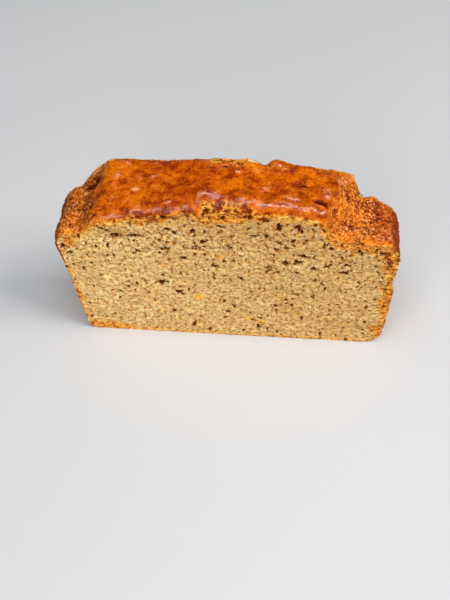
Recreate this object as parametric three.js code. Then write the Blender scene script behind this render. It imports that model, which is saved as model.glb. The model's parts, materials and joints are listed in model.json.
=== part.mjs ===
// A thick slice cut across a loaf of banana bread, standing on the crust of its base.
// Millimetres, +Z up. +X runs across the slice, +Y runs through it away from the front cut face.
// The origin is the middle of the slice's box, on the surface that the slice stands on.
import * as THREE from 'three';
import { mergeVertices } from 'three/addons/utils/BufferGeometryUtils.js';

// The slice as a whole. Below, x is measured from the middle of the section and y from the front face.
const sliceThickness = 25;

// The walls that the tin gave it: each leans out as it rises, and each base corner is round.
const leftWall = { reachAtBase: 56.1, lean: 0.15, baseRadius: 3.8, bulge: 1.1, bulgeAtBack: 1.4 };
const rightWall = { reachAtBase: 61.2, lean: 0.055, baseRadius: 8.6, bulge: 0.6, bulgeAtBack: -0.4 };
const bulgeHeight = 46;
const bulgeSpread = 8;

// The shoulders: the low crust over the rim of the tin on both sides of the dome.
const leftShoulder = { height: 56.3, riseToBack: -1.1, radius: 6.8, radiusAtBack: 11.6 };
const rightShoulder = { height: 58, riseToBack: -2.8, radius: 8.5, radiusAtBack: 10.5 };

// The dome: a plateau that broke away from both shoulders as the loaf rose.
const domeHeight = 72.7;
const domeLeftSag = 1.5;
const domeLeftSagLength = 25;
const domeRightStart = 8;
const domeRightFall = 0.055;
const domeRightFallPower = 1.2;
const domeFrontDroop = 7;
const domeFrontDroopStart = -8;
const domeFrontDroopLength = 42;
const domeFrontEase = 1.2;

// The breaks between dome and shoulders: where each starts and how wide it is, in front and behind.
// The left one bows outwards by its power, 1 being a straight slope, and widens soonest behind the
// front face.
const leftBreak = { foot: -52.8, footAtBack: -56.8, width: 6.4, widthAtBack: 14.2, bow: 1.75 };
const leftBreakWidening = 0.5;
const rightBreak = { foot: 44.5, footAtBack: 50.2, width: 11.5, widthAtBack: 5.4 };

// The crust curls down to the cut faces, most along the front edge of the dome. The shoulders have
// this share of the dome's curl.
const frontLip = { depth: 5.5, drop: 3.3 };
const backLip = { depth: 3, drop: 0.9 };
const shoulderLipShare = 0.4;

// Dents (depth above zero) and lumps (depth below zero) of the crust, seen from above.
const crustMarks = [
  { name: 'cleft at the back of the left break', x: -50.3, y: 19, rx: 3, ry: 3.2, depth: 5.2 },
  { name: 'seam that leads the cleft forward', x: -52.4, y: 10.5, rx: 1.9, ry: 7, depth: 1.8 },
  { name: 'pit on the left shoulder', x: -56.2, y: 15, rx: 1.8, ry: 1.8, depth: 1.5 },
  { name: 'hump of the left shoulder', x: -57.6, y: 19, rx: 3.6, ry: 6, depth: -1.6 },
  { name: 'broken bay in the front edge', x: -7.8, y: 0, rx: 4.8, ry: 3.4, depth: 2.6 },
  { name: 'small bay left of it', x: -19, y: 0, rx: 4.5, ry: 2.4, depth: 1.3 },
  { name: 'small bay right of it', x: 6.4, y: 0, rx: 5, ry: 2.4, depth: 1.7 },
  { name: 'swell behind the broken bay', x: -8, y: 6.5, rx: 6, ry: 3.6, depth: -1.4 },
  { name: 'swell of the front edge', x: 7, y: 3, rx: 5, ry: 4, depth: -0.9 },
  { name: 'crater near the right end', x: 34.4, y: 4.6, rx: 2.3, ry: 1.9, depth: 2 },
  { name: 'rim of the crater', x: 34, y: 1.9, rx: 3.2, ry: 1.5, depth: -0.5 },
  { name: 'slit in the dome', x: 26.5, y: 13.4, rx: 4.2, ry: 1.3, depth: 1.1 },
  { name: 'fold behind the slit', x: 26, y: 16.4, rx: 5.5, ry: 2, depth: -0.6 },
  { name: 'hollow of the dome', x: 16, y: 12, rx: 9, ry: 6, depth: 0.7 },
  { name: 'swell of the back edge', x: 14, y: 24, rx: 12, ry: 5, depth: -1 },
  { name: 'notch in the back edge', x: 13.4, y: 25, rx: 2.1, ry: 2.8, depth: 3.6 },
  { name: 'flake beside the notch', x: 16.9, y: 24.4, rx: 1.6, ry: 1.6, depth: -2.8 },
  { name: 'burnt lump on the right shoulder', x: 53.2, y: 21.4, rx: 2.8, ry: 2.8, depth: -2.2 },
  { name: 'pit beside the burnt lump', x: 56.8, y: 14.5, rx: 2, ry: 2.4, depth: 1.1 },
  { name: 'lump in the foot of the right break', x: 47.5, y: 8, rx: 3, ry: 3, depth: -1.3 },
];

// Hollows in both cut faces: the tear under the crust and the widest pores.
const crumbHollows = [
  { name: 'tear under the left crust', x: -39, z: 53.8, rx: 8.5, rz: 1.5, depth: 1.6 },
  { name: 'pore cluster left of the middle', x: -26, z: 28.6, rx: 3.2, rz: 1.7, depth: 1.6 },
  { name: 'pore cluster at its right', x: -20.5, z: 26.2, rx: 2.2, rz: 1.4, depth: 0.9 },
  { name: 'pore pair in the upper right', x: 28, z: 47, rx: 2.6, rz: 2.2, depth: 1.6 },
  { name: 'pore beside the pair', x: 22.6, z: 45.8, rx: 2, rz: 1.5, depth: 1.1 },
  { name: 'pore under the dome', x: 28.2, z: 61, rx: 2.2, rz: 1.7, depth: 1.4 },
  { name: 'slit at the right wall', x: 58, z: 50, rx: 1.4, rz: 2.8, depth: 1.3 },
  { name: 'pore left of the middle', x: -16, z: 43.4, rx: 1.9, rz: 1.4, depth: 1 },
];

// A scrap of crust that stands out of the right wall, with a nick above it.
const wallScrap = { z: 29.8, y: 3, spreadZ: 2.3, spreadY: 5, height: 1.7 };
const wallNick = { z: 34.4, y: 3, spreadZ: 2.1, spreadY: 6, height: -2.6 };

// Unevenness: how far the surfaces wander from their even form, and over what length.
// Each is read from its own layer of the same unevenness, so that no two are alike.
const domeWander = { reach: 0.55, length: 11, layer: 5 };
const breakWander = { reach: 0.9, length: 4.6, layer: 9 };
const wallWander = { reach: 0.55, length: 9, layer: 40 };
const cutWander = { reach: 0.6, length: 13, layer: 70 };
const crumbWander = { reach: 0.3, length: 3.8, layer: 30 };

// The plateau takes little of the breaks' unevenness, and the cut faces have none at the base.
const plateauCalm = 0.85;
const baseCalm = 4;

// The upper end of each wall follows the crust's unevenness, and this power of the way up sets how
// soon that fades further down.
const fadePower = 4;

// How finely the surface is divided, and how much closer the divisions lie near the edges.
const divisions = { across: 64, up: 24, through: 12 };
const crowding = { across: 0.45, up: 0.55, through: 0.6 };

const crustColour = 0xb9651f;

const clamp01 = (value) => Math.min(1, Math.max(0, value));
const ease = (value) => clamp01(value) ** 2 * (3 - 2 * clamp01(value));
const mix = (a, b, share) => a + (b - a) * share;
const crowd = (share, strength) => share - (strength * Math.sin(2 * Math.PI * share)) / (2 * Math.PI);
const hill = (a, b) => Math.exp(-(a * a) - b * b);

// A number from 0 to 1 that is always the same for the same corner of a grid: the whole numbers are
// stirred by large odd factors, and the result is brought down from 32 bits.
const stir = [374761393, 668265263, 1274126177];
function cornerValue(i, j, k) {
  let bits = Math.imul(i, stir[0]) ^ Math.imul(j, stir[1]) ^ Math.imul(k, stir[2]);
  bits = Math.imul(bits ^ (bits >>> 13), stir[2]);
  return ((bits ^ (bits >>> 16)) >>> 0) / 0xffffffff;
}

// Smooth unevenness from -1 to 1 between the corner values of a grid of the given length.
function wander(x, y, z, length) {
  const [i, j, k] = [x, y, z].map((value) => Math.floor(value / length));
  const [u, v, w] = [x / length - i, y / length - j, z / length - k].map(ease);
  let sum = 0;
  for (const [di, dj, dk] of [0, 1, 2, 3, 4, 5, 6, 7].map((n) => [n & 1, (n >> 1) & 1, n >> 2])) {
    const share = (di ? u : 1 - u) * (dj ? v : 1 - v) * (dk ? w : 1 - w);
    sum += share * cornerValue(i + di, j + dj, k + dk);
  }
  return 2 * sum - 1;
}

// How far a wall reaches out from the middle at height z, before its corners are rounded.
function wallReach(wall, y, z) {
  const bulge = mix(wall.bulge, wall.bulge + wall.bulgeAtBack, y / sliceThickness);
  return wall.reachAtBase + wall.lean * z + bulge * Math.exp(-(((z - bulgeHeight) / bulgeSpread) ** 2));
}

// How much a round corner of the given radius takes away at this distance past where it begins.
function roundOff(past, radius) {
  return past <= 0 ? 0 : radius - Math.sqrt(Math.max(0, radius ** 2 - past ** 2));
}

// The even height of the dome's plateau.
function domeSurface(x, y) {
  const toFront = (1 - y / sliceThickness) ** domeFrontEase;
  const leftSag = domeLeftSag * ease(-x / domeLeftSagLength);
  const rightFall = domeRightFall * Math.max(0, x - domeRightStart) ** domeRightFallPower;
  const droop = domeFrontDroop * ease((domeFrontDroopStart - x) / domeFrontDroopLength) * toFront;
  return domeHeight - leftSag - rightFall - droop;
}

// The share of the dome's height at this place: 0 on a shoulder, 1 on the plateau.
function domeShare(x, y) {
  const back = y / sliceThickness;
  const widening = clamp01(back) ** leftBreakWidening;
  const leftWay = (x - mix(leftBreak.foot, leftBreak.footAtBack, widening))
    / mix(leftBreak.width, leftBreak.widthAtBack, widening);
  const rightWay = (mix(rightBreak.foot, rightBreak.footAtBack, back) - x)
    / mix(rightBreak.width, rightBreak.widthAtBack, back);
  return (1 - (1 - clamp01(leftWay)) ** leftBreak.bow) * ease(rightWay);
}

const shoulderHeight = (shoulder, y) => shoulder.height + (shoulder.riseToBack * y) / sliceThickness;
const shoulderRadius = (shoulder, y) => mix(shoulder.radius, shoulder.radiusAtBack, y / sliceThickness);

// The height of the crust above the base, with its breaks, lips, dents and lumps.
function crustHeight(x, y) {
  const share = domeShare(x, y);
  const shoulder = shoulderHeight(x < 0 ? leftShoulder : rightShoulder, y);
  let height = mix(shoulder, domeSurface(x, y), share);
  const frontCurl = frontLip.drop * clamp01(1 - y / frontLip.depth) ** 2;
  const backCurl = backLip.drop * clamp01(1 - (sliceThickness - y) / backLip.depth) ** 2;
  height -= mix(shoulderLipShare, 1, share) * (frontCurl + backCurl);
  for (const mark of crustMarks) {
    height -= mark.depth * hill((x - mark.x) / mark.rx, (y - mark.y) / mark.ry);
  }
  const brokenness = 1 - plateauCalm * share;
  height += domeWander.reach * wander(x, y, domeWander.layer, domeWander.length);
  return height + brokenness * breakWander.reach * wander(x, y, breakWander.layer, breakWander.length);
}

// The four corners of the section at depth y: where two of its curves meet, half way round a corner.
const halfWay = 1 - Math.SQRT1_2;
function sectionCorner(side, y, atTop) {
  const wall = side < 0 ? leftWall : rightWall;
  const shoulder = side < 0 ? leftShoulder : rightShoulder;
  const radius = atTop ? shoulderRadius(shoulder, y) : wall.baseRadius;
  const z = atTop ? shoulderHeight(shoulder, y) - radius * halfWay : radius * halfWay;
  return { x: side * (wallReach(wall, y, z) - radius * halfWay), z };
}

// A wall's curve from the base corner (share 0) to the shoulder corner (share 1), where it meets
// the crust's own unevenness.
function wallCurve(side, y, share) {
  const wall = side < 0 ? leftWall : rightWall;
  const shoulder = side < 0 ? leftShoulder : rightShoulder;
  const low = sectionCorner(side, y, false).z;
  const high = sectionCorner(side, y, true).z;
  const lift = crustCurve(y, side < 0 ? 0 : 1).z - high;
  const z = mix(low, high, crowd(share, crowding.up));
  const lowRound = roundOff(wall.baseRadius - z, wall.baseRadius);
  const radius = shoulderRadius(shoulder, y);
  const highRound = roundOff(z - shoulderHeight(shoulder, y) + radius, radius);
  let reach = wallReach(wall, y, z) - lowRound - highRound;
  const unevenness = wander(side * wallWander.layer, y, z, wallWander.length);
  reach += wallWander.reach * unevenness * Math.sin(Math.PI * share);
  if (side > 0) {
    for (const scrap of [wallScrap, wallNick]) {
      reach += scrap.height * hill((z - scrap.z) / scrap.spreadZ, (y - scrap.y) / scrap.spreadY);
    }
  }
  return { x: side * reach, z: z + lift * share ** fadePower };
}

// The base (a flat between two round corners) and the crust above it, from left (0) to right (1).
function baseCurve(y, share) {
  const left = sectionCorner(-1, y, false);
  const right = sectionCorner(1, y, false);
  const x = mix(left.x, right.x, crowd(share, crowding.across));
  const wall = x < 0 ? leftWall : rightWall;
  const reach = wallReach(wall, y, wall.baseRadius * halfWay);
  return { x, z: roundOff(Math.abs(x) - reach + wall.baseRadius, wall.baseRadius) };
}

function crustCurve(y, share) {
  const left = sectionCorner(-1, y, true);
  const right = sectionCorner(1, y, true);
  const x = mix(left.x, right.x, crowd(share, crowding.across));
  const wall = x < 0 ? leftWall : rightWall;
  const shoulder = x < 0 ? leftShoulder : rightShoulder;
  const corner = x < 0 ? left : right;
  const radius = shoulderRadius(shoulder, y);
  const past = Math.abs(x) - wallReach(wall, y, corner.z) + radius;
  return { x, z: crustHeight(x, y) - roundOff(past, radius) };
}

// A point of the section at depth y, filled in evenly between its four curves.
function sectionPoint(across, up, y) {
  const base = baseCurve(y, across);
  const crust = crustCurve(y, across);
  const left = wallCurve(-1, y, up);
  const right = wallCurve(1, y, up);
  const lowLeft = baseCurve(y, 0);
  const lowRight = baseCurve(y, 1);
  const highLeft = crustCurve(y, 0);
  const highRight = crustCurve(y, 1);
  const rise = crowd(up, crowding.up);
  const run = crowd(across, crowding.across);
  const fill = (axis) => {
    const leftBow = left[axis] - mix(lowLeft[axis], highLeft[axis], rise);
    const rightBow = right[axis] - mix(lowRight[axis], highRight[axis], rise);
    return mix(base[axis], crust[axis], rise) + mix(leftBow, rightBow, run);
  };
  return { x: fill('x'), z: fill('z') };
}

// How far a cut face stands back from its plane: slow waves, crumb, and the hollows.
function cutRelief(x, z, face) {
  const layer = face * cutWander.layer;
  let relief = cutWander.reach * wander(x, layer, z, cutWander.length);
  relief += crumbWander.reach * wander(x, layer + crumbWander.layer, z, crumbWander.length);
  for (const hollow of crumbHollows) {
    const alongX = face < 0 ? hollow.x : -hollow.x;
    relief += hollow.depth * hill((x - alongX) / hollow.rx, (z - hollow.z) / hollow.rz);
  }
  return relief;
}

// The slice starts as an even block, and each of its points is moved to its place.
function sliceGeometry() {
  const { across, up, through } = divisions;
  const block = new THREE.BoxGeometry(1, 1, 1, across, through, up);
  block.deleteAttribute('normal');
  block.deleteAttribute('uv');
  const geometry = mergeVertices(block);
  const place = geometry.attributes.position;
  for (let index = 0; index < place.count; index += 1) {
    const shareAcross = place.getX(index) + 0.5;
    const shareThrough = place.getY(index) + 0.5;
    const shareUp = place.getZ(index) + 0.5;
    const way = crowd(shareThrough, crowding.through);
    const { x, z } = sectionPoint(shareAcross, shareUp, sliceThickness * way);
    const fromBase = ease(z / baseCalm);
    const front = fromBase * cutRelief(x, z, -1);
    const back = sliceThickness - fromBase * cutRelief(x, z, 1);
    place.setXYZ(index, x, mix(front, back, way), z);
  }
  geometry.computeBoundingBox();
  const middle = geometry.boundingBox.getCenter(new THREE.Vector3());
  geometry.translate(-middle.x, -middle.y, -geometry.boundingBox.min.z);
  geometry.computeVertexNormals();
  return geometry;
}

const slice = new THREE.Mesh(
  sliceGeometry(),
  new THREE.MeshStandardMaterial({ color: crustColour, roughness: 0.6, metalness: 0 }),
);
slice.name = 'banana_bread_slice';

const group = new THREE.Group();
group.add(slice);

export default group;
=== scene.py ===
# A thick slice of banana bread, standing on the crust of its base, seen from above its cut face.
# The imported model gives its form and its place; this script gives it its crumb and its crust.
import json
import math

import bpy
from mathutils import Matrix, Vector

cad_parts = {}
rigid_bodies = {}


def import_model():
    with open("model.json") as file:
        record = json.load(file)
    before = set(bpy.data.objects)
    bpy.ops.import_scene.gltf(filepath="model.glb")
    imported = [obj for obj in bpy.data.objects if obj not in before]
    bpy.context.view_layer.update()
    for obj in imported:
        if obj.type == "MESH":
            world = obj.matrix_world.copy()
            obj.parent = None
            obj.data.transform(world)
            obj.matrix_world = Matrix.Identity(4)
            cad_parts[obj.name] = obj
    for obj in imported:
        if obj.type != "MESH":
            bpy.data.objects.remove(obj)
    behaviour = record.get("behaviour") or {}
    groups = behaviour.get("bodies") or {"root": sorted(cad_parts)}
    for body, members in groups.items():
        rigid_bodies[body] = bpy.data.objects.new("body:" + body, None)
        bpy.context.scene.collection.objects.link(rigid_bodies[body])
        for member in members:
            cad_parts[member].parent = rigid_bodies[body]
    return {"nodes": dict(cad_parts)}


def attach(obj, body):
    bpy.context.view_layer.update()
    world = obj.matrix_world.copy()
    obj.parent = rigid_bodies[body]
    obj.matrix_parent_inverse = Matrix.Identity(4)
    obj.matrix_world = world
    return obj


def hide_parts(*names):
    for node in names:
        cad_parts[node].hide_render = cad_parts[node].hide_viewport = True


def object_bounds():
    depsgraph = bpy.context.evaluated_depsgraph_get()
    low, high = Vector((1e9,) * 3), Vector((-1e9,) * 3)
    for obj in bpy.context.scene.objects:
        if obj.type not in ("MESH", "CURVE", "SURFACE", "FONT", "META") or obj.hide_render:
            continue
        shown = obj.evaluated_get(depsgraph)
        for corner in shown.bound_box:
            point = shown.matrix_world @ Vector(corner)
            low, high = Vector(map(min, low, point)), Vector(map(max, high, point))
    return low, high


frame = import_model()
cad_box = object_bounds()
MM = 0.001


# ---------------------------------------------------------------- the cut slice
# One solid of cake: two cut faces and the browned outside that the tin and the oven gave it. The
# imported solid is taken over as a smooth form, and its cut faces are told apart from its crust, so
# that each gets its own relief and finish.

WELD_REACH = 0.01 * MM      # how near two of the solid's corners lie that are one
CUT_FACE_LEAN = 0.84        # how squarely a face looks along Y to count as cut
HOLLOW_FACES = 3            # how many faces wide a hollow's slopes may be, which count as cut too
CUT_FACE_DEPTH = 2.6 * MM   # how far in from the box's end a cut face may lie
RIM_CREASE = 0.75
SMOOTHING_LEVELS = 3


def only(piece):
    """Makes a piece the one that is selected and worked on."""
    if bpy.context.object and bpy.context.object.mode != "OBJECT":
        bpy.ops.object.mode_set(mode="OBJECT")
    bpy.ops.object.select_all(action="DESELECT")
    piece.select_set(True)
    bpy.context.view_layer.objects.active = piece


def finish_with(piece, kind, **settings):
    """Adds a modifier to a piece and applies it."""
    only(piece)
    modifier = piece.modifiers.new(kind.lower(), kind)
    for name, value in settings.items():
        setattr(modifier, name, value)
    bpy.ops.object.modifier_apply(modifier=modifier.name)


solid = frame["nodes"]["banana_bread_slice"]
bread = bpy.data.objects.new("bread_slice", solid.data.copy())
bpy.context.scene.collection.objects.link(bread)
bread.data.materials.clear()
crust_finish = bpy.data.materials.new("baked crust")
crumb_finish = bpy.data.materials.new("open crumb")
bread.data.materials.append(crust_finish)
bread.data.materials.append(crumb_finish)

only(bread)
bpy.ops.object.mode_set(mode="EDIT")
bpy.ops.mesh.select_all(action="SELECT")
bpy.ops.mesh.remove_doubles(threshold=WELD_REACH)
bpy.ops.mesh.tris_convert_to_quads()
bpy.ops.mesh.select_all(action="DESELECT")
bpy.ops.object.mode_set(mode="OBJECT")

front_end = cad_box[0].y
back_end = cad_box[1].y
for face in bread.data.polygons:
    from_end = min(face.center.y - front_end, back_end - face.center.y)
    face.select = abs(face.normal.y) > CUT_FACE_LEAN and from_end < CUT_FACE_DEPTH
bpy.ops.object.mode_set(mode="EDIT")
bpy.ops.mesh.select_mode(type="FACE")
for _ in range(HOLLOW_FACES):
    bpy.ops.mesh.select_more()
for _ in range(HOLLOW_FACES):
    bpy.ops.mesh.select_less()
bread.active_material_index = 1
bpy.ops.object.material_slot_assign()
bpy.ops.mesh.region_to_loop()
bpy.ops.transform.edge_crease(value=RIM_CREASE)
bpy.ops.object.mode_set(mode="OBJECT")

finish_with(bread, "SUBSURF", levels=SMOOTHING_LEVELS, render_levels=SMOOTHING_LEVELS)


# ---------------------------------------------------------------- the relief of the crumb
# The cut faces are an open, moist crumb: pores from a grain of sugar to a pea in size, more of them
# towards the top and the right, with a few large holes. From here on sizes and places are in
# millimetres, in the geometry trees as in the materials.


def add(tree, kind, *values, **settings):
    """Adds a node. The values go to its inputs in their order; a socket among them is linked."""
    node = tree.nodes.new(kind)
    for name, value in settings.items():
        setattr(node, name, value)
    for socket, value in zip(node.inputs, values):
        if isinstance(value, bpy.types.NodeSocket):
            tree.links.new(value, socket)
        elif value is not None:
            socket.default_value = value
    return node


def work(tree, operation, *values):
    """The result of a sum on numbers."""
    return add(tree, "ShaderNodeMath", *values, operation=operation).outputs[0]


def product(tree, first, *others):
    """All the values multiplied."""
    for other in others:
        first = work(tree, "MULTIPLY", first, other)
    return first


def largest(tree, first, *others):
    """The largest of the values."""
    for other in others:
        first = work(tree, "MAXIMUM", first, other)
    return first


def spread(tree, value, low, high, at_low=0.0, at_high=1.0, smooth=True):
    """Takes a value between low and high to one between at_low and at_high, and holds the ends."""
    kind = "SMOOTHSTEP" if smooth else "LINEAR"
    node = add(tree, "ShaderNodeMapRange", value, low, high, at_low, at_high, interpolation_type=kind)
    return node.outputs[0]


def noise(tree, place, size, detail=2.0, roughness=0.5):
    """Cloudy unevenness from 0 to 1 with lumps of about this size."""
    node = add(tree, "ShaderNodeTexNoise", place, None, 1 / size, detail, roughness)
    return node.outputs[0]


def parted(tree, place):
    """The X, Y and Z of a place."""
    return add(tree, "ShaderNodeSeparateXYZ", place).outputs


def stretched(tree, place, factors):
    """The place, multiplied along the axes by these factors."""
    return add(tree, "ShaderNodeVectorMath", place, factors, operation="MULTIPLY").outputs[0]


def in_millimetres(tree, place):
    """A place given in metres, in millimetres."""
    return stretched(tree, place, (1 / MM, 1 / MM, 1 / MM))


def stir(tree, place, size, reach):
    """Shifts each place a little its own way, so that what is drawn there gets an uneven outline."""
    node = add(tree, "ShaderNodeTexNoise", place, None, 1 / size, 2.0, 0.6)
    middle = (0.5, 0.5, 0.5)
    centred = add(tree, "ShaderNodeVectorMath", node.outputs["Color"], middle, operation="SUBTRACT")
    shift = stretched(tree, centred.outputs[0], (reach, reach, reach))
    return add(tree, "ShaderNodeVectorMath", place, shift, operation="ADD").outputs[0]


SMALLEST_PORE = 0.35        # as a share of the widest pore of its kind
FAR_OUTSIDE = 9.0           # how far outside a spot each place is that has none near it
HOLE_SLOPE = 0.12           # how much the noise falls from the rim of a ragged hole to its middle


def pores(tree, picture, size, chance, widest):
    """How far inside a round pore each place lies: 1 in its middle, 0 at its rim, less outside. There
    is a cell of this size for each pore, a cell has one by this chance, and the widest takes up this
    share of its cell."""
    cell = add(tree, "ShaderNodeTexVoronoi", picture, None, 1 / size, voronoi_dimensions="2D")
    lot = parted(tree, cell.outputs["Color"])[0]
    without = work(tree, "SUBTRACT", 1.0, chance)
    width = spread(tree, lot, without, 1.0, SMALLEST_PORE * widest, widest, smooth=False)
    has_none = work(tree, "LESS_THAN", lot, without)
    inside = work(tree, "SUBTRACT", 1.0, work(tree, "DIVIDE", cell.outputs["Distance"], width))
    return work(tree, "SUBTRACT", inside, work(tree, "MULTIPLY", has_none, FAR_OUTSIDE))


def holes(tree, picture, size, share):
    """How far inside a ragged hole each place lies. About this share of the face is hole."""
    clouds = noise(tree, picture, size, 3.0, 0.55)
    limit = spread(tree, share, 0.0, 0.5, 0.3, 0.5, smooth=False)
    return work(tree, "DIVIDE", work(tree, "SUBTRACT", limit, clouds), HOLE_SLOPE)


def spots(tree, picture, places):
    """How far inside the nearest of the listed oval spots each place lies, seen along Z. A spot has
    its middle, half its length, half its height and its tilt in degrees."""
    flat = stretched(tree, picture, (1, 1, 0))
    inside = -FAR_OUTSIDE
    for x, y, half_length, half_height, tilt in places:
        apart = add(tree, "ShaderNodeVectorMath", flat, (x, y, 0), operation="SUBTRACT").outputs[0]
        turn = math.radians(-tilt)
        level = add(tree, "ShaderNodeVectorRotate", apart, None, None, turn, rotation_type="Z_AXIS")
        size = (half_length, half_height, 1)
        ratio = add(tree, "ShaderNodeVectorMath", level.outputs[0], size, operation="DIVIDE").outputs[0]
        reach = add(tree, "ShaderNodeVectorMath", ratio, operation="LENGTH").outputs["Value"]
        inside = work(tree, "MAXIMUM", inside, work(tree, "SUBTRACT", 1.0, reach))
    return inside


FACES_APART = 400           # how far off the back face is drawn, so that it gets pores of its own
LARGEST_HOLES = (           # x, z, half length, half height and tilt, on the front face
    (-24.3, 28.6, 2.7, 1.5, 15), (-18.2, 24.0, 2.2, 0.8, -28), (-22.6, 48.4, 2.0, 0.9, 20),
    (-15.6, 43.3, 1.9, 1.1, 0), (-7.3, 53.4, 1.8, 1.0, 20), (2.1, 50.2, 1.6, 1.0, -55),
    (-11.5, 48.7, 1.6, 0.7, 0), (-3.9, 39.9, 1.4, 0.9, -10), (0.9, 14.2, 1.3, 0.9, -20),
    (-44.6, 57.0, 3.6, 0.9, -20), (-40.3, 54.2, 2.6, 1.2, 12), (-33.3, 54.4, 4.2, 0.9, 2),
    (-43.8, 48.7, 1.5, 1.2, 10), (-59.0, 43.8, 1.1, 1.1, 0), (-61.0, 47.4, 0.7, 1.8, 0),
    (20.4, 62.2, 1.6, 1.9, 25), (27.4, 61.2, 3.0, 1.2, -48), (20.8, 53.9, 1.4, 0.9, -55),
    (23.5, 51.8, 1.5, 0.7, -30), (29.6, 46.9, 2.3, 0.9, -8), (27.4, 43.9, 2.0, 1.5, 5),
    (23.0, 43.3, 1.5, 1.5, 0), (33.8, 41.3, 1.8, 0.8, 20), (27.2, 39.2, 1.1, 0.8, 0),
    (16.3, 40.9, 1.1, 0.9, 0), (38.5, 43.4, 1.6, 0.8, 30), (26.7, 26.2, 2.0, 0.7, -10),
    (22.0, 28.4, 1.7, 0.5, -12), (45.6, 39.3, 1.5, 0.9, -20), (58.6, 50.2, 1.2, 2.2, -35),
    (50.6, 51.4, 2.2, 0.8, -22), (56.5, 52.8, 1.2, 0.8, 30), (39.7, 52.9, 1.2, 0.8, 0),
    (11.1, 57.0, 1.3, 0.8, 0), (15.8, 57.3, 1.0, 1.4, 0), (-11.3, 58.3, 1.1, 1.3, 30),
    (-18.4, 57.1, 1.1, 1.1, 0), (-21.3, 58.6, 1.3, 0.8, -20), (-0.9, 61.2, 2.0, 0.6, -15),
    (15.1, 65.6, 2.0, 0.9, -28), (-5.6, 68.0, 2.2, 0.9, 15), (1.4, 68.8, 1.8, 1.2, 0),
    (9.0, 68.6, 2.4, 1.2, -35), (-21.8, 65.0, 1.5, 1.9, 0), (-29.4, 64.9, 2.6, 0.9, -10),
)
LARGEST_HOLE_DEPTH = 1.7
PORE_KINDS = (              # cell, depth, widest share of a cell, least chance, rise of the chance
    (6.5, 1.2, 0.17, 0.08, 1.0),
    (3.4, 0.95, 0.27, 0.22, 2.4),
    (2.0, 0.45, 0.3, 0.28, 1.7),
)
FINE_HOLE_SIZE = 2.4
FINE_HOLE_DEPTH = 0.45
FINE_HOLE_SHARE = 0.07      # how much of the face they take up where the crumb is neither open nor close
PORE_SLOPE = 0.6            # how far inside its rim a pore has its full depth
RIM_HEIGHT = 0.12           # how far a pore's rim stands up
CRUMB_SWELLS = ((5.0, 0.35), (2.2, 0.42))       # size and height of the unevenness between pores


def crumb_picture(tree, place):
    """The places on the cut faces as their pores lie there: x and z, with the back face mirrored and
    drawn far off."""
    parts = parted(tree, place)
    behind = work(tree, "GREATER_THAN", parts["Y"], 0.0)
    way = work(tree, "MULTIPLY_ADD", behind, -2.0, 1.0)
    start = work(tree, "MULTIPLY", behind, FACES_APART)
    across = work(tree, "MULTIPLY_ADD", parts["X"], way, start)
    return add(tree, "ShaderNodeCombineXYZ", across, parts["Z"]).outputs[0]


def crumb_spots(tree, picture, places):
    """How far inside a listed spot a place on a cut face lies. Both faces have the same spots."""
    parts = parted(tree, picture)
    behind = work(tree, "GREATER_THAN", parts["X"], FACES_APART / 2)
    across = work(tree, "MULTIPLY_ADD", behind, -FACES_APART, parts["X"])
    return spots(tree, add(tree, "ShaderNodeCombineXYZ", across, parts["Y"]).outputs[0], places)


def crumb_pores(tree, place):
    """How deep the crumb's pores are at each place on a cut face, and how much of a pore's raised rim
    the place is, from 0 to 1. The crumb is more open towards the top, the right and in patches."""
    picture = crumb_picture(tree, place)
    parts = parted(tree, place)
    rise = spread(tree, parts["Z"], 10, 58, 0.0, 0.16)
    across = spread(tree, parts["X"], -55, 40, -0.03, 0.05)
    patches = spread(tree, noise(tree, picture, 13.0), 0.35, 0.65, -0.07, 0.07)
    openness = work(tree, "ADD", work(tree, "ADD", rise, across), patches)
    uneven = stir(tree, stir(tree, picture, 2.6, 1.7), 0.9, 0.6)
    taller = stretched(tree, uneven, (1.0, 0.8, 1.0))
    kinds = [(crumb_spots(tree, uneven, LARGEST_HOLES), LARGEST_HOLE_DEPTH)]
    for size, reach, widest, least, more in PORE_KINDS:
        chance = work(tree, "MULTIPLY_ADD", openness, more, least)
        kinds.append((pores(tree, taller, size, chance, widest), reach))
    fine_share = work(tree, "ADD", openness, FINE_HOLE_SHARE)
    kinds.append((holes(tree, taller, FINE_HOLE_SIZE, fine_share), FINE_HOLE_DEPTH))
    ragged = work(tree, "MULTIPLY_ADD", noise(tree, picture, 1.5, 3.0, 0.65), 3.2, -1.6)
    patchy = spread(tree, noise(tree, picture, 2.2, 2.0), 0.45, 0.6)
    depth = 0.0
    near = 0.0
    for inside, reach in kinds:
        inside = work(tree, "ADD", inside, ragged)
        depth = work(tree, "MAXIMUM", depth, spread(tree, inside, 0.0, PORE_SLOPE, 0.0, reach))
        near = work(tree, "MAXIMUM", near, spread(tree, inside, -0.7, -0.1))
    rim = work(tree, "SUBTRACT", near, spread(tree, depth, 0.0, 0.15))
    return depth, work(tree, "MULTIPLY", work(tree, "MAXIMUM", rim, 0.0), patchy)


def relief(piece, name, build):
    """Runs a geometry tree on a piece and keeps its result. build gets the tree and the geometry's
    socket, and gives the socket of the new geometry."""
    tree = bpy.data.node_groups.new(name, "GeometryNodeTree")
    tree.interface.new_socket("Geometry", in_out="INPUT", socket_type="NodeSocketGeometry")
    tree.interface.new_socket("Geometry", in_out="OUTPUT", socket_type="NodeSocketGeometry")
    given = tree.nodes.new("NodeGroupInput")
    result = tree.nodes.new("NodeGroupOutput")
    tree.links.new(build(tree, given.outputs[0]), result.inputs[0])
    finish_with(piece, "NODES", node_group=tree)


def move_points(tree, geometry, offset):
    """Moves each point of the geometry by an offset in metres."""
    moved = tree.nodes.new("GeometryNodeSetPosition")
    tree.links.new(geometry, moved.inputs["Geometry"])
    tree.links.new(offset, moved.inputs["Offset"])
    return moved.outputs[0]


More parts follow.
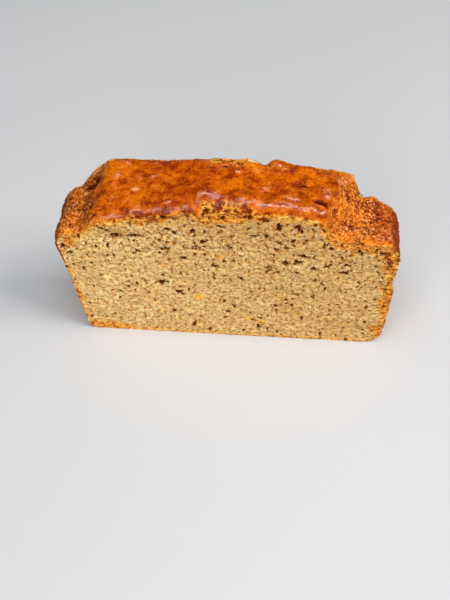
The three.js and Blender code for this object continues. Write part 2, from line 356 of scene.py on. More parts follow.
def keep_value(tree, geometry, name, value):
    """Stores a value at each point of the geometry under a name."""
    node = tree.nodes.new("GeometryNodeStoreNamedAttribute")
    node.data_type = "FLOAT"
    node.domain = "POINT"
    tree.links.new(geometry, node.inputs["Geometry"])
    node.inputs["Name"].default_value = name
    tree.links.new(value, node.inputs["Value"])
    return node.outputs[0]


def kept_value(tree, name):
    """A stored value, in a geometry tree."""
    node = tree.nodes.new("GeometryNodeInputNamedAttribute")
    node.data_type = "FLOAT"
    node.inputs["Name"].default_value = name
    return node.outputs[0]


def measure_from(tree, geometry, is_target, name):
    """Stores how far each point lies from the faces of one kind."""
    target = tree.nodes.new("GeometryNodeSeparateGeometry")
    target.domain = "FACE"
    tree.links.new(geometry, target.inputs[0])
    tree.links.new(is_target, target.inputs[1])
    near = tree.nodes.new("GeometryNodeProximity")
    near.target_element = "FACES"
    tree.links.new(target.outputs[0], near.inputs[0])
    distance = work(tree, "MULTIPLY", near.outputs["Distance"], 1 / MM)
    return keep_value(tree, geometry, name, distance)


def measure_edges(tree, geometry):
    """Stores each point's distance from the crust and from the cut faces."""
    index = tree.nodes.new("GeometryNodeInputMaterialIndex").outputs[0]
    is_crust = work(tree, "LESS_THAN", index, 0.5)
    is_crumb = work(tree, "GREATER_THAN", index, 0.5)
    geometry = measure_from(tree, geometry, is_crust, "from_crust")
    return measure_from(tree, geometry, is_crumb, "from_crumb")


def open_crumb(tree, geometry):
    """Sinks the pores into both cut faces, and leaves the crumb between them uneven."""
    place = in_millimetres(tree, tree.nodes.new("GeometryNodeInputPosition").outputs[0])
    depth, rim = crumb_pores(tree, place)
    depth = work(tree, "MULTIPLY_ADD", rim, -RIM_HEIGHT, depth)
    picture = crumb_picture(tree, place)
    for size, reach in CRUMB_SWELLS:
        swell = spread(tree, noise(tree, picture, size, 3.0, 0.6), 0.25, 0.75, -reach, reach)
        depth = work(tree, "ADD", depth, swell)
    depth = work(tree, "MULTIPLY", depth, spread(tree, kept_value(tree, "from_crust"), 0.05, 0.8))
    inward = work(tree, "MULTIPLY", work(tree, "SIGN", parted(tree, place)["Y"]), -MM)
    offset = add(tree, "ShaderNodeCombineXYZ", 0.0, work(tree, "MULTIPLY", depth, inward), 0.0)
    return move_points(tree, geometry, offset.outputs[0])


relief(bread, "distances to the edges", measure_edges)
relief(bread, "crumb", open_crumb)


# ---------------------------------------------------------------- the relief of the crust
# The crust is smooth and lumpy on the dome, with pits and blisters, and crumbly where the dome broke
# away from the shoulders. Along the cut faces its rim is rolled to a lip and torn.

CRUST_PITS = (              # x, y, half length, half width and tilt, seen from above
    (-51.6, 8.0, 3.4, 1.5, 25), (-49.6, 7.6, 1.7, 2.2, -30), (-54.8, -2.2, 2.4, 0.7, -15),
    (-48.0, -9.6, 1.5, 0.7, 40), (-45.6, -8.6, 1.0, 0.5, 30), (34.6, -5.2, 2.6, 1.3, -8),
    (37.0, -6.4, 1.1, 0.7, -40), (28.0, 1.6, 4.4, 0.6, 0), (44.6, 3.4, 1.0, 0.7, 0),
    (46.6, -5.0, 1.2, 0.6, 0), (52.4, -5.4, 1.2, 0.6, 20), (-0.6, 8.0, 2.0, 0.6, 0),
    (13.9, 10.6, 2.0, 0.8, -30),
)
BLISTERS = (                # the same, where the skin stands up and shines
    (-33.4, -2.4, 1.7, 1.0, 20), (14.7, -2.2, 2.6, 1.4, 30), (24.5, -5.6, 3.2, 1.0, -8),
    (37.0, -1.0, 2.2, 2.6, 15), (42.4, 6.2, 2.2, 1.2, -20), (32.8, -8.7, 2.2, 0.8, 10),
    (-21.0, -9.0, 1.8, 0.7, 10), (-27.0, 3.6, 2.4, 0.7, 30), (4.0, 5.0, 1.5, 0.7, 10),
    (-41.0, 4.0, 1.8, 1.2, 35), (60.6, -6.6, 1.4, 3.0, 10), (-8.0, -7.4, 2.0, 1.2, 20),
    (34.4, -5.8, 1.8, 0.8, -8),
)
PIT_DEPTH = 1.2
BLISTER_HEIGHT = 0.5
LIP_HEIGHT = 0.2
SKIN_SWELLS = ((6.0, 0.5, 0.35), (1.9, 0.6, 0.2))       # size, roughness and height
CRAG_SIZE = 5.2
CRAG_HEIGHTS = (1.6, -0.9)  # rise from the lowest crag to the highest, and height of the lowest
GRIT_SIZE = 1.15            # of the crumbs that cover the crags
GRIT_HEIGHTS = (0.9, -0.5)
TOP_STARTS = (42, 48)       # z where the walls end and the top of the slice begins
FRONT = -12                 # y near the front cut face
BACK = 12                   # y near the back cut face
LEFT_BREAK = (-47.5, -45.5)     # x where the left break begins, at the front and at the back
RIGHT_BREAK = (37.0, 42.5)      # the same for the right break
BAY = ((-9, -5), (9, 13))   # x where the stretch of rim that is torn further in begins and ends


def on_top_of(tree, place):
    """1 on the top of the slice and 0 on its walls and base."""
    return spread(tree, parted(tree, place)["Z"], *TOP_STARTS)


def broken_share(tree, place):
    """1 where the crust is crumbly, in the breaks beside the dome and on the shoulders, and 0 on the
    smooth dome."""
    ragged = parted(tree, stir(tree, place, 3.5, 4.5))
    x, y = ragged["X"], ragged["Y"]
    right_start = spread(tree, y, FRONT, BACK, *RIGHT_BREAK, smooth=False)
    right = spread(tree, work(tree, "SUBTRACT", x, right_start), -1.5, 3.0)
    left_start = spread(tree, y, FRONT, BACK, *LEFT_BREAK, smooth=False)
    left = spread(tree, work(tree, "SUBTRACT", left_start, x), -1.5, 5.0)
    return work(tree, "MULTIPLY", work(tree, "MAXIMUM", left, right), on_top_of(tree, place))


def off_walls(tree, place, start, end):
    """1 where x is less than start on either side, and 0 beyond end, near the walls."""
    return spread(tree, work(tree, "ABSOLUTE", parted(tree, place)["X"]), start, end, 1.0, 0.0)


def crags(tree, place):
    """The crumbly crust's height from 0 to 1, in large crags and in grit."""
    uneven = stir(tree, place, 3.0, 2.5)
    large = noise(tree, uneven, CRAG_SIZE, 2.0, 0.5)
    small = noise(tree, uneven, GRIT_SIZE, 4.0, 0.7)
    return spread(tree, large, 0.25, 0.75), spread(tree, small, 0.3, 0.7)


def in_bay(tree, x):
    """1 in the middle of the dome, where its rim is torn further in, and 0 beside it."""
    begin, end = BAY
    return product(tree, spread(tree, x, *begin), spread(tree, x, *end, 1.0, 0.0))


def torn_edge(tree, place, from_crumb):
    """1 where the crust is torn along the rims of the cut faces, and 0 away from them. The torn strip
    is wider in the breaks and widest in the bay."""
    wavy = spread(tree, noise(tree, place, 5.0, 3.0, 0.65), 0.35, 0.65, 0.4, 2.4)
    x = parted(tree, place)["X"]
    left = spread(tree, x, -52, -47, 1.8, 1.0)
    right = spread(tree, x, 34, 42, 1.0, 1.8)
    bay = spread(tree, in_bay(tree, x), 0.0, 1.0, 1.0, 3.2)
    width = work(tree, "MULTIPLY", wavy, largest(tree, left, right, bay))
    return spread(tree, work(tree, "DIVIDE", from_crumb, width), 0.4, 1.0, 1.0, 0.0)


def lip_share(tree, place, from_crumb):
    """1 in the streaks along the rolled lip of the crust beside a cut face, and 0 away from them. The
    lip lies further in at the bay and on the right half."""
    along = stretched(tree, place, (0.4, 1, 1))
    streaks = spread(tree, noise(tree, along, 2.0, 3.0), 0.4, 0.56)
    x = parted(tree, place)["X"]
    in_middle = spread(tree, in_bay(tree, x), 0.0, 1.0, 1.0, 2.1)
    at_right = spread(tree, x, 0, 12, 1.0, 1.9)
    inward = work(tree, "DIVIDE", from_crumb, largest(tree, in_middle, at_right))
    lip = product(tree, spread(tree, inward, 0.9, 1.8), spread(tree, inward, 2.4, 3.8, 1.0, 0.0))
    return work(tree, "MULTIPLY", lip, streaks)


def crust_spots(tree, place, places):
    """How much of an uneven spot on top of the crust each place is, from 0 to 1."""
    inside = spots(tree, stir(tree, place, 1.5, 1.2), places)
    return work(tree, "MULTIPLY", spread(tree, inside, -0.15, 0.35), on_top_of(tree, place))


def wrinkle_crust(tree, geometry):
    """Raises and dents the crust along its normals. The base stays flat, and the crags are lower near
    the walls."""
    place = in_millimetres(tree, tree.nodes.new("GeometryNodeInputPosition").outputs[0])
    normal = tree.nodes.new("GeometryNodeInputNormal").outputs[0]
    from_crumb = kept_value(tree, "from_crumb")
    on_top = on_top_of(tree, place)
    broken = broken_share(tree, place)
    torn = work(tree, "MULTIPLY", torn_edge(tree, place, from_crumb), on_top)
    large, small = crags(tree, place)
    crumbly = work(tree, "MAXIMUM", broken, work(tree, "MULTIPLY", torn, 0.5))
    lip = work(tree, "MULTIPLY", lip_share(tree, place, from_crumb), on_top)
    steps = [
        (crust_spots(tree, place, CRUST_PITS), 0.0, -PIT_DEPTH),
        (crust_spots(tree, place, BLISTERS), 0.0, BLISTER_HEIGHT),
        (lip, 0.0, LIP_HEIGHT),
    ]
    for size, roughness, reach in SKIN_SWELLS:
        swell = spread(tree, noise(tree, place, size, 3.0, roughness), 0.25, 0.75)
        steps.append((swell, -reach, reach))
    height = 0.0
    for share, low, high in steps:
        height = work(tree, "ADD", height, spread(tree, share, 0.0, 1.0, low, high, smooth=False))
    calm = spread(tree, off_walls(tree, place, 57, 63), 0.0, 1.0, 0.25, 1.0)
    rough = product(tree, work(tree, "MULTIPLY_ADD", large, *CRAG_HEIGHTS), broken, calm)
    grit = work(tree, "MULTIPLY", work(tree, "MULTIPLY_ADD", small, *GRIT_HEIGHTS), crumbly)
    height = work(tree, "ADD", height, work(tree, "ADD", rough, grit))
    above_base = spread(tree, parted(tree, place)["Z"], 0.3, 3.5)
    on_crust = spread(tree, kept_value(tree, "from_crust"), 0.0, 0.02, MM, 0.0)
    height = product(tree, height, above_base, on_crust)
    offset = add(tree, "ShaderNodeVectorMath", normal, None, None, height, operation="SCALE")
    return move_points(tree, geometry, offset.outputs[0])


relief(bread, "crust", wrinkle_crust)
TRIANGLES = 196000
TRIANGLES_A_FACE = 2
finish_with(bread, "DECIMATE", ratio=TRIANGLES / (TRIANGLES_A_FACE * len(bread.data.polygons)))
only(bread)
bpy.ops.object.shade_smooth()


# ---------------------------------------------------------------- the finish of the crumb
# Moist cake, golden beige and finely grained, with painted shade in its browner pores and painted
# highlights on their rims, and a few bits of fruit flush in it. Towards the crust it is browner, and
# along its rim it is singed in places.


def colour(red, green, blue):
    """A colour given as a screen shows it, from 0 to 255, as light."""
    parts = [part / 255 for part in (red, green, blue)]
    light = [part / 12.92 if part <= 0.04045 else ((part + 0.055) / 1.055) ** 2.4 for part in parts]
    return (*light, 1.0)


def blend(tree, share, first, second):
    """A mix of two colours."""
    node = tree.nodes.new("ShaderNodeMix")
    node.data_type = "RGBA"
    for socket, value in ((node.inputs[0], share), (node.inputs[6], first), (node.inputs[7], second)):
        if isinstance(value, bpy.types.NodeSocket):
            tree.links.new(value, socket)
        else:
            socket.default_value = value
    return node.outputs[2]


def start_finish(material):
    """Gives a material's tree, its shader and the place on the piece in millimetres."""
    material.use_nodes = True
    tree = material.node_tree
    shader = tree.nodes["Principled BSDF"]
    place = tree.nodes.new("ShaderNodeTexCoord").outputs["Object"]
    return tree, shader, in_millimetres(tree, place)


def bump(tree, height, reach, strength):
    """The normal of fine relief that is this many millimetres high."""
    node = tree.nodes.new("ShaderNodeBump")
    node.inputs["Strength"].default_value = strength
    node.inputs["Distance"].default_value = reach * MM
    tree.links.new(height, node.inputs["Height"])
    return node.outputs[0]


def kept_share(tree, name):
    """A stored value, in a material."""
    node = tree.nodes.new("ShaderNodeAttribute")
    node.attribute_name = name
    return node.outputs["Fac"]


FRUIT_BITS = (              # x, z, half length, half height and tilt, on the front face
    (-10.2, 22.2, 2.6, 1.9, 0), (9.4, 10.4, 2.6, 1.0, 8), (14.0, 9.6, 1.2, 0.7, 0),
)
AMBER_BITS = (              # the same, where the crumb is stained
    (-2.0, 45.2, 2.0, 0.8, 0), (-23.2, 38.6, 1.8, 1.3, 10), (9.0, 37.8, 2.2, 1.0, -35),
    (-38.0, 56.5, 3.0, 1.0, 0), (-33.0, 61.5, 3.0, 1.6, 10),
)
GOLDEN_PATCHES = (          # the same, where the crumb is browned further in from the crust
    (-26.0, 64.0, 8.0, 4.0, 15), (-5.0, 66.0, 7.0, 5.0, 0), (3.0, 67.0, 9.0, 5.0, 0),
    (14.0, 68.0, 5.0, 3.4, 0), (42.0, 60.0, 7.0, 5.0, -40), (50.0, 55.0, 11.0, 6.0, 0),
    (-58.0, 50.0, 4.0, 4.0, 0), (61.0, 47.0, 4.4, 8.0, 0), (62.0, 24.0, 3.4, 12.0, 0),
    (-60.0, 20.0, 3.0, 6.0, 0), (-48.0, 2.0, 11.0, 4.0, 0), (59.0, 7.0, 3.0, 5.0, 20),
)
SINGED_SPOTS = (            # the same, dark red where the rim of the crumb is singed
    (-5.9, 67.3, 2.6, 1.1, 15), (1.0, 68.6, 3.4, 1.3, -10), (8.8, 68.6, 1.5, 2.4, -35),
    (15.4, 66.9, 2.4, 0.9, -20), (-22.0, 65.2, 2.0, 1.3, 0), (-28.4, 65.0, 3.8, 1.4, 10),
    (-26.4, 62.6, 3.4, 1.2, 20), (-18.6, 64.8, 2.0, 1.4, 0), (-12.6, 66.4, 3.0, 0.9, 5),
    (44.0, 58.4, 3.4, 1.2, -30), (49.0, 56.4, 3.0, 1.0, 0), (61.6, 46.0, 1.4, 4.0, 0),
    (60.4, 51.0, 1.2, 2.4, 0),
)
GRAIN_SIZE = 1.3
SPECK_SIZE = 0.9
BROWNED_REACH = (2.6, 8.5)  # how far in from the crust the crumb is browned, outside and in patches

GRAIN_DARK = colour(180, 110, 28)
GRAIN_LIGHT = colour(255, 219, 146)
DARK_SPECKS = colour(138, 76, 4)
LIGHT_SPECKS = colour(255, 236, 182)
CLOUDED = colour(214, 152, 76)
RIGHT_BROWN = colour(196, 140, 66)
TOP_GOLD = colour(200, 124, 30)
AMBER = colour(222, 140, 30)
PORE_RIM_HIGHLIGHT = colour(255, 228, 174)
BAKED_DARK = colour(228, 128, 10)
BAKED_LIGHT = colour(255, 198, 92)
GOLDEN_DARK = colour(208, 98, 2)
GOLDEN_LIGHT = colour(254, 176, 68)
BAKED_SPECKS = colour(146, 50, 0)
SINGED = colour(156, 52, 2)
SINGED_RED = colour(122, 28, 0)
LEFT_EDGE_SHADE = colour(110, 32, 0)
SHALLOW_OCHRE = colour(174, 100, 0)
SHALLOW_BROWN = colour(168, 80, 0)
DEEP_BROWN = colour(106, 44, 0)
DEEP_RED = colour(116, 34, 0)
FRUIT = colour(255, 196, 72)

tree, shader, place = start_finish(crumb_finish)
parts = parted(tree, place)
side, height = parts["X"], parts["Z"]
picture = crumb_picture(tree, place)
depth, rim = crumb_pores(tree, place)
from_crust = kept_share(tree, "from_crust")
wide = stretched(tree, picture, (0.75, 1.0, 1.0))
grain = noise(tree, wide, GRAIN_SIZE, 4.0, 0.7)
speck = noise(tree, wide, SPECK_SIZE, 3.0, 0.6)
clouds = noise(tree, picture, 12.0, 3.0, 0.55)

# The grain of the crumb, coarser and darker towards the top and the right.
tone = blend(tree, spread(tree, grain, 0.37, 0.56), GRAIN_DARK, GRAIN_LIGHT)
coarse = largest(tree, spread(tree, height, 30, 62), spread(tree, side, -25, 25, 0.0, 0.7))
coarse = spread(tree, coarse, 0.0, 1.0, 0.5, 0.95)
tone = blend(tree, work(tree, "MULTIPLY", spread(tree, speck, 0.46, 0.35), coarse), tone, DARK_SPECKS)
tone = blend(tree, spread(tree, speck, 0.54, 0.64, 0.0, 0.95), tone, LIGHT_SPECKS)
tone = blend(tree, spread(tree, clouds, 0.35, 0.65, 0.0, 0.3), tone, CLOUDED)
tone = blend(tree, spread(tree, side, -50, 45, 0.0, 0.3), tone, RIGHT_BROWN)
tone = blend(tree, spread(tree, height, 48, 64, 0.0, 0.3), tone, TOP_GOLD)
amber = crumb_spots(tree, stir(tree, picture, 2.0, 1.5), AMBER_BITS)
tone = blend(tree, spread(tree, amber, 0.0, 0.7, 0.0, 0.7), tone, AMBER)
# Painted highlights: the raised rims of the pores are paler, as if they caught the light.
tone = blend(tree, work(tree, "MULTIPLY", rim, 0.4), tone, PORE_RIM_HIGHLIGHT)

# The browned crumb along the crust.
golden = spread(tree, crumb_spots(tree, stir(tree, picture, 5.0, 4.0), GOLDEN_PATCHES), -0.2, 0.5)
wavy = spread(tree, noise(tree, picture, 6.0, 4.0, 0.65), 0.3, 0.7, 0.35, 1.7)
reach = spread(tree, golden, 0.0, 1.0, *BROWNED_REACH, smooth=False)
reach = product(tree, reach, wavy, spread(tree, height, 3, 9, 0.6, 1.0))
grainy = spread(tree, noise(tree, picture, 1.7, 3.0, 0.7), 0.3, 0.7, -1.4, 1.4, smooth=False)
inward = work(tree, "DIVIDE", work(tree, "ADD", from_crust, grainy), reach)
browned = work(tree, "MAXIMUM", work(tree, "SUBTRACT", 1.0, inward), 0.0)
baked_grain = spread(tree, grain, 0.36, 0.58)
baked = blend(tree, baked_grain, BAKED_DARK, BAKED_LIGHT)
baked = blend(tree, golden, baked, blend(tree, baked_grain, GOLDEN_DARK, GOLDEN_LIGHT))
browner = work(tree, "SUBTRACT", speck, spread(tree, side, 52, 60, 0.0, 0.06))
baked = blend(tree, spread(tree, browner, 0.43, 0.34, 0.0, 0.75), baked, BAKED_SPECKS)
tone = blend(tree, spread(tree, browned, 0.0, 0.5, 0.0, 0.9), tone, baked)
singed = product(tree, spread(tree, browned, 0.6, 0.95), spread(tree, grain, 0.52, 0.4), 0.75)
tone = blend(tree, singed, tone, SINGED)
blotched = crumb_spots(tree, stir(tree, stir(tree, picture, 3.0, 2.4), 1.1, 1.3), SINGED_SPOTS)
blotched = product(tree, spread(tree, blotched, -0.2, 0.4), spread(tree, grain, 0.62, 0.46), 0.9)
tone = blend(tree, blotched, tone, SINGED_RED)

# A thin line of painted shade along the crumb's left edge below the shoulder, for the left wall seen on
# edge in its shade.
at_left = spread(tree, side, -60, -57, 1.0, 0.0)
at_height = product(tree, spread(tree, height, 34, 42), spread(tree, height, 51, 55, 1.0, 0.0))
left_edge_shade = spread(tree, work(tree, "MULTIPLY_ADD", grainy, 0.25, from_crust), 0.6, 1.3, 1.0, 0.0)
tone = blend(tree, product(tree, at_left, at_height, left_edge_shade, 0.9), tone, LEFT_EDGE_SHADE)

# The pores: painted shade over their browner crumb, darker the deeper they are; and the bits of fruit.
hue = spread(tree, noise(tree, picture, 8.0), 0.4, 0.6)
shallow_browned_shade = blend(tree, hue, SHALLOW_OCHRE, SHALLOW_BROWN)
deep_browned_shade = blend(tree, hue, DEEP_BROWN, DEEP_RED)
tone = blend(tree, spread(tree, depth, 0.05, 0.45, 0.0, 0.8), tone, shallow_browned_shade)
tone = blend(tree, spread(tree, depth, 0.45, 1.1, 0.0, 0.95), tone, deep_browned_shade)
fruit = spread(tree, crumb_spots(tree, stir(tree, picture, 1.5, 0.8), FRUIT_BITS), 0.0, 0.3)
tone = blend(tree, fruit, tone, FRUIT)

tree.links.new(tone, shader.inputs["Base Color"])
shader.inputs["Roughness"].default_value = 0.65
shader.inputs["Specular IOR Level"].default_value = 0.05
shader.inputs["Subsurface Weight"].default_value = 0.1
shader.inputs["Subsurface Radius"].default_value = (1.0, 0.55, 0.2)
shader.inputs["Subsurface Scale"].default_value = 0.5 * MM
rough_height = work(tree, "SUBTRACT", work(tree, "MULTIPLY_ADD", rim, 0.3, grain), depth)
tree.links.new(bump(tree, rough_height, 0.6, 0.8), shader.inputs["Normal"])


# ---------------------------------------------------------------- the finish of the crust
# A thin baked skin, caramel orange with darker blotches, glossy on the dome, dull and dark on the
# crumbly breaks and shoulders, golden where it lay against the tin.

SCORCHES = (                # x, y, half length, half width and tilt, where the crumbly crust is burnt
    (54.2, 8.4, 2.8, 2.8, 0), (54.6, 2.6, 3.4, 5.0, 10), (47.5, -6.4, 5.6, 1.8, -8),
    (44.6, 3.6, 2.2, 1.8, 0), (-50.0, 6.2, 3.8, 4.8, -30), (-51.4, -3.0, 2.2, 8.0, 5),
    (-60.5, 2.0, 1.6, 9.0, 0), (-47.6, -9.6, 3.0, 1.6, 0),
)
RIM_BLOTCHES = (            # the same, where the rim of the crust is dark red
    (-31.0, -11.6, 2.4, 0.8, 0), (-27.0, -11.9, 2.0, 0.7, 0), (-21.2, -11.2, 2.4, 0.9, 0),
    (-13.0, -11.6, 2.6, 0.6, 0), (-5.9, -11.8, 1.7, 0.9, 10), (-1.5, -10.8, 2.6, 1.3, 20),
    (1.8, -12.0, 1.8, 0.8, 0), (8.8, -11.8, 2.3, 1.2, -20), (15.4, -12.5, 1.8, 0.6, 0),
)
FLAKED_SPOTS = (            # the same, where the skin has flaked off
    (9.4, 10.9, 2.6, 1.2, -25),
)
# The grit's colour is paler than the crags', partly pale crumbs and partly painted highlights on the
# grit's tops.
CRUMBLY_TONES = (           # x, colour of the crags, colour of the grit on them
    (-56, (196, 102, 14), (250, 170, 100)),
    (-47, (190, 92, 20), (228, 144, 60)),
    (38, (222, 112, 12), (255, 170, 84)),
    (50, (226, 122, 24), (255, 178, 100)),
    (58, (186, 82, 16), (236, 140, 74)),
)
BLOTCH_SIZE = 11.0
MOTTLE_SIZE = 3.2
FINE_SIZE = 1.0

SKIN_ORANGE = colour(210, 98, 0)
SKIN_BROWN = colour(160, 54, 0)
SKIN_GOLD = colour(232, 126, 8)
ENDS_GOLD = colour(218, 118, 6)
SKIN_DARK = colour(126, 30, 0)
SKIN_SPECKS = colour(100, 22, 0)
SKIN_GLINTS = colour(244, 150, 40)
CRAG_FEET = colour(124, 38, 0)
SCORCHED = colour(112, 28, 4)
GRIT_GAPS = colour(78, 12, 0)
RIM_RED = colour(150, 48, 0)
RIM_GOLD = colour(230, 134, 32)
BAY_GOLD = colour(232, 158, 52)
RIM_FLECKS = colour(250, 190, 98)
RIM_BURNT = colour(104, 20, 2)
BLOTCH_RED = colour(108, 22, 0)
FLAKED = colour(240, 204, 150)
BLISTER_GLINT = colour(246, 166, 104)
WALL_BROWN = colour(190, 106, 26)
WALL_GOLD = colour(240, 176, 92)
WALL_SPECKS = colour(138, 62, 12)
OVERHANG_SHADE = colour(120, 40, 10)
PIT_BURN_AND_SHADE = colour(68, 10, 0)


def tone_across(tree, x, tones):
    """The colour at x, between the listed ones."""
    first, last = tones[0][0], tones[-1][0]
    node = tree.nodes.new("ShaderNodeValToRGB")
    tree.links.new(spread(tree, x, first, last, smooth=False), node.inputs[0])
    stops = node.color_ramp.elements
    for at, tone in tones[1:-1]:
        stops.new((at - first) / (last - first)).color = tone
    stops[0].color = tones[0][1]
    stops[-1].color = tones[-1][1]
    return node.outputs[0]


tree, shader, place = start_finish(crust_finish)
parts = parted(tree, place)
side, height = parts["X"], parts["Z"]
from_middle = work(tree, "ABSOLUTE", side)
from_crumb = kept_share(tree, "from_crumb")
on_top = on_top_of(tree, place)
broken = broken_share(tree, place)
torn = work(tree, "MULTIPLY", torn_edge(tree, place, from_crumb), on_top)
large, small = crags(tree, place)
wide = stretched(tree, place, (0.75, 1, 1))
blotches = noise(tree, wide, BLOTCH_SIZE, 5.0, 0.66)
mottle = noise(tree, wide, MOTTLE_SIZE, 4.0, 0.68)
fine = noise(tree, place, FINE_SIZE, 4.0, 0.65)

# The smooth skin of the dome.
skin = blend(tree, spread(tree, blotches, 0.36, 0.62), SKIN_ORANGE, SKIN_BROWN)
skin = blend(tree, spread(tree, mottle, 0.5, 0.68, 0.0, 0.6), skin, SKIN_GOLD)
skin = blend(tree, spread(tree, from_middle, 14, 34, 0.0, 0.18), skin, ENDS_GOLD)
skin = blend(tree, spread(tree, mottle, 0.49, 0.36, 0.0, 0.85), skin, SKIN_DARK)
skin = blend(tree, spread(tree, fine, 0.47, 0.34, 0.0, 0.65), skin, SKIN_SPECKS)
# Painted highlights: pale peach glints on the tops of the skin's fine wrinkles.
skin = blend(tree, spread(tree, fine, 0.58, 0.7, 0.0, 0.45), skin, SKIN_GLINTS)

# The crumbly crust: brown at the left, golden in the right break, burnt on the right shoulder.
# The tops of its grit are paler, partly as painted highlights, and the feet of its crags and the gaps
# in its grit are darker, partly as painted shade over burnt crumbs.
crag_tone = tone_across(tree, side, [(x, colour(*crag)) for x, crag, _ in CRUMBLY_TONES])
pale_grit_and_glint = tone_across(tree, side, [(x, colour(*grit)) for x, _, grit in CRUMBLY_TONES])
crumbly = blend(tree, spread(tree, large, 0.6, 0.2, 0.0, 0.8), crag_tone, CRAG_FEET)
crumbly = blend(tree, spread(tree, small, 0.55, 0.95, 0.0, 0.8), crumbly, pale_grit_and_glint)
scorched = product(tree, crust_spots(tree, place, SCORCHES), spread(tree, small, 0.8, 0.35), 0.85)
crumbly = blend(tree, scorched, crumbly, SCORCHED)
gaps = spread(tree, small, 0.45, 0.15)
gap_strength = work(tree, "MULTIPLY", gaps, spread(tree, side, 44, 52, 0.7, 0.9))
crumbly = blend(tree, gap_strength, crumbly, GRIT_GAPS)
crumbly = blend(tree, spread(tree, fine, 0.6, 0.74, 0.0, 0.7), crumbly, pale_grit_and_glint)
tone = blend(tree, broken, skin, crumbly)

# The torn rims of the cut faces: golden in places, dark red in others.
rim_patches = spread(tree, noise(tree, place, 3.0, 3.0, 0.6), 0.38, 0.52)
rim_patches = largest(tree, rim_patches, spread(tree, from_middle, 32, 38, 0.0, 0.75))
rim_tone = blend(tree, rim_patches, RIM_RED, blend(tree, in_bay(tree, side), RIM_GOLD, BAY_GOLD))
rim_tone = blend(tree, spread(tree, fine, 0.52, 0.68, 0.0, 0.6), rim_tone, RIM_FLECKS)
# Darker in the gaps of the grit: burnt pits, with painted shade there too.
rim_tone = blend(tree, gaps, rim_tone, RIM_BURNT)
tone = blend(tree, torn, tone, rim_tone)
blotched = spots(tree, stir(tree, stir(tree, place, 3.0, 1.6), 1.1, 1.2), RIM_BLOTCHES)
blotched = spread(tree, blotched, -0.2, 0.3, 0.0, 0.85)
tone = blend(tree, product(tree, blotched, spread(tree, small, 0.95, 0.6), on_top), tone, BLOTCH_RED)

# Where the skin has flaked off, and a pale painted highlight on the blisters.
tone = blend(tree, crust_spots(tree, place, FLAKED_SPOTS), tone, FLAKED)
blistered = crust_spots(tree, place, BLISTERS)
blistered = work(tree, "MULTIPLY", blistered, spread(tree, mottle, 0.36, 0.54, 0.3, 1.0))
painted_glint = product(tree, blistered, spread(tree, fine, 0.38, 0.6), 0.42)
tone = blend(tree, painted_glint, tone, BLISTER_GLINT)

# The walls, golden where they lay against the tin.
low = spread(tree, height, 30, 46, 1.0, 0.0)
wall_mottle = noise(tree, place, 2.2, 4.0, 0.68)
wall_tone = blend(tree, spread(tree, wall_mottle, 0.35, 0.65), WALL_BROWN, WALL_GOLD)
wall_tone = blend(tree, spread(tree, fine, 0.46, 0.34, 0.0, 0.7), wall_tone, WALL_SPECKS)
tone = blend(tree, low, tone, wall_tone)

# Painted shade on the overhang of the shoulders over the walls, and painted shade over the dark burnt
# crust of the pits, the darkest of the crust.
at_walls = spread(tree, off_walls(tree, place, 60.5, 64.0), 1.0, 0.0)
overhang = product(tree, spread(tree, height, 36, 45), at_walls, 0.75)
tone = blend(tree, overhang, tone, OVERHANG_SHADE)
pit = crust_spots(tree, place, CRUST_PITS)
tone = blend(tree, work(tree, "MULTIPLY", pit, 0.95), tone, PIT_BURN_AND_SHADE)

# The gloss, on the lip, the blisters and parts of the skin.
dull = largest(tree, broken, torn, low)
lip = work(tree, "MULTIPLY", lip_share(tree, place, from_crumb), on_top)
glaze = largest(tree, lip, blistered, spread(tree, mottle, 0.52, 0.66, 0.0, 0.25))
glaze = work(tree, "MULTIPLY", glaze, spread(tree, dull, 0.0, 1.0, 1.0, 0.3))
glaze = work(tree, "MULTIPLY", glaze, spread(tree, pit, 0.0, 0.6, 1.0, 0.0))

tree.links.new(tone, shader.inputs["Base Color"])
tree.links.new(spread(tree, dull, 0.0, 1.0, 0.4, 0.6), shader.inputs["Roughness"])
shader.inputs["Specular IOR Level"].default_value = 0.06
tree.links.new(glaze, shader.inputs["Coat Weight"])
shader.inputs["Coat Roughness"].default_value = 0.18
shader.inputs["Coat IOR"].default_value = 1.65
shader.inputs["Subsurface Weight"].default_value = 0.05
shader.inputs["Subsurface Radius"].default_value = (1.0, 0.4, 0.15)
shader.inputs["Subsurface Scale"].default_value = 0.5 * MM
fine_relief = work(tree, "MULTIPLY_ADD", fine, 0.5, noise(tree, wide, 1.5, 4.0, 0.6))
tree.links.new(bump(tree, fine_relief, 0.35, 0.7), shader.inputs["Normal"])

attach(bread, "root")
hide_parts("banana_bread_slice")


# ---------------------------------------------------------------- the floor, the light, the camera
# A plain pale floor, a soft light high at the right, a wider one overhead, the widest and faintest
# one in front, and the photograph's viewing angle. Sizes and places here are in metres.

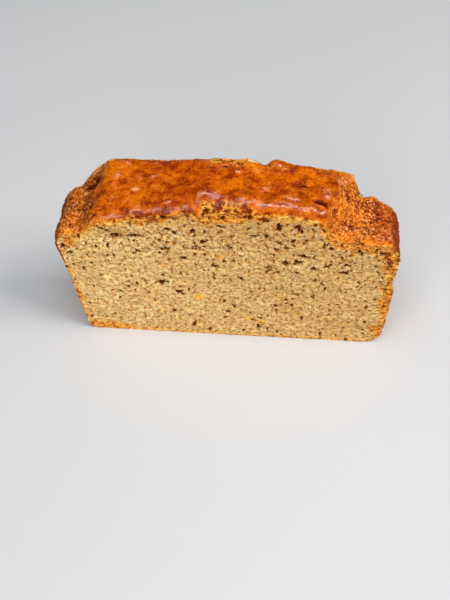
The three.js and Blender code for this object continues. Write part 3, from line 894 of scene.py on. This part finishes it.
FLOOR_SIZE = 3.0
FLOOR_GREY = colour(208, 207, 207)
AIM_HEIGHT = 0.035          # what the lights look at, in the middle of the slice
ROOM_TINT = (0.82, 0.91, 1.0, 1.0)
ROOM_LIGHT = 0.13
AZIMUTH = math.radians(6.647)
ELEVATION = math.radians(48.93)
ROLL = math.radians(-2.016)
CAMERA_PLACE = (0.03524, -0.31753, 0.37337)
SENSOR_WIDTH = 36.0         # in millimetres, as is the focal length
FOCAL_LENGTH = 72.0

bpy.ops.object.select_all(action="DESELECT")
bpy.ops.mesh.primitive_plane_add(size=FLOOR_SIZE, location=(0, 0, 0))
floor = bpy.context.object
floor.name = "floor"
floor_finish = bpy.data.materials.new("plain floor")
floor_finish.use_nodes = True
shader = floor_finish.node_tree.nodes["Principled BSDF"]
shader.inputs["Base Color"].default_value = FLOOR_GREY
shader.inputs["Roughness"].default_value = 0.6
floor.data.materials.append(floor_finish)


def soft_light(name, azimuth, elevation, distance, size, power, tint):
    """A square light that looks at the slice. Azimuth 0 is in front of it and 90 at its right."""
    turn, rise = math.radians(azimuth), math.radians(elevation)
    place = (
        distance * math.sin(turn) * math.cos(rise),
        -distance * math.cos(turn) * math.cos(rise),
        distance * math.sin(rise) + AIM_HEIGHT,
    )
    bpy.ops.object.light_add(type="AREA", location=place, rotation=(math.pi / 2 - rise, 0, turn))
    light = bpy.context.object
    light.name = name
    light.data.size = size
    light.data.energy = power
    light.data.color = tint


soft_light("key light", 75, 52, 0.9, size=0.4, power=5.3, tint=(1.0, 0.97, 0.93))
soft_light("overhead light", 0, 74, 1.0, size=0.7, power=5.9, tint=(0.86, 0.93, 1.0))
soft_light("front light", -18, 27, 1.2, size=0.9, power=6.1, tint=(1.0, 0.98, 0.95))
world = bpy.data.worlds.new("room")
bpy.context.scene.world = world
world.use_nodes = True
world.node_tree.nodes["Background"].inputs["Color"].default_value = ROOM_TINT
world.node_tree.nodes["Background"].inputs["Strength"].default_value = ROOM_LIGHT

bpy.ops.object.camera_add(location=CAMERA_PLACE)
camera = bpy.context.object
aim = Matrix.Rotation(AZIMUTH, 3, "Z") @ Matrix.Rotation(math.pi / 2 - ELEVATION, 3, "X")
camera.rotation_euler = (aim @ Matrix.Rotation(ROLL, 3, "Z")).to_euler()
camera.data.sensor_width = SENSOR_WIDTH
camera.data.lens = FOCAL_LENGTH
bpy.context.scene.camera = camera
bpy.context.scene.view_settings.view_transform = "Standard"
